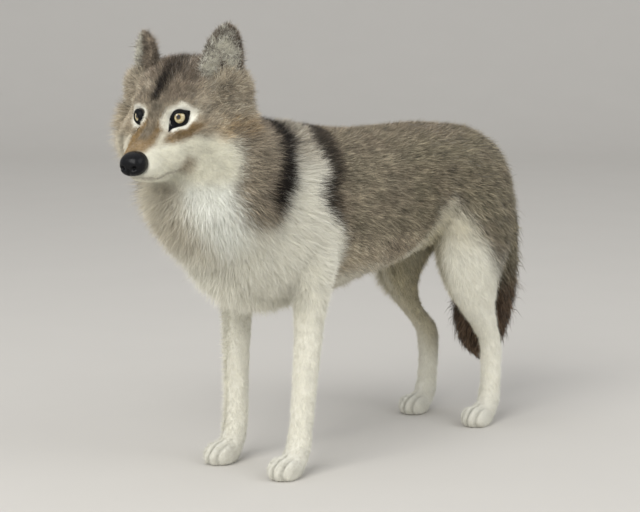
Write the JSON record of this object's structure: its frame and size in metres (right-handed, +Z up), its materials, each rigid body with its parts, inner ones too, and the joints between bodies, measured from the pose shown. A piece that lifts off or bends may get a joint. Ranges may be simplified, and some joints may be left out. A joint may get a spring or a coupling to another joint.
{
  "type": "needle felted wolf",
  "caption": "Standing wolf figure of needle felted wool with a ruff, upright ears, a hanging bushy tail, glass eyes and a black clay nose.",
  "frame": {"origin": "on the ground under the middle of the wolf's bounding box", "axes": "+Z up; the wolf faces -Y and its left side is +X"},
  "size_m": [0.0612, 0.2588, 0.1905],
  "materials": {
    "white_wool": "matt felted wool",
    "grey_wool": "matt felted wool",
    "dark_wool": "matt felted wool",
    "black_clay": "satin varnished clay",
    "amber_glass": "polished glass with a painted back"
  },
  "bodies": {
    "root": {"felted_body": "white_wool", "tail": "dark_wool", "left_ear": "grey_wool", "right_ear": "grey_wool", "nose": "black_clay", "left_eye": "amber_glass", "right_eye": "amber_glass", "left_eyelid": "black_clay", "right_eyelid": "black_clay"}
  },
  "joints": []
}
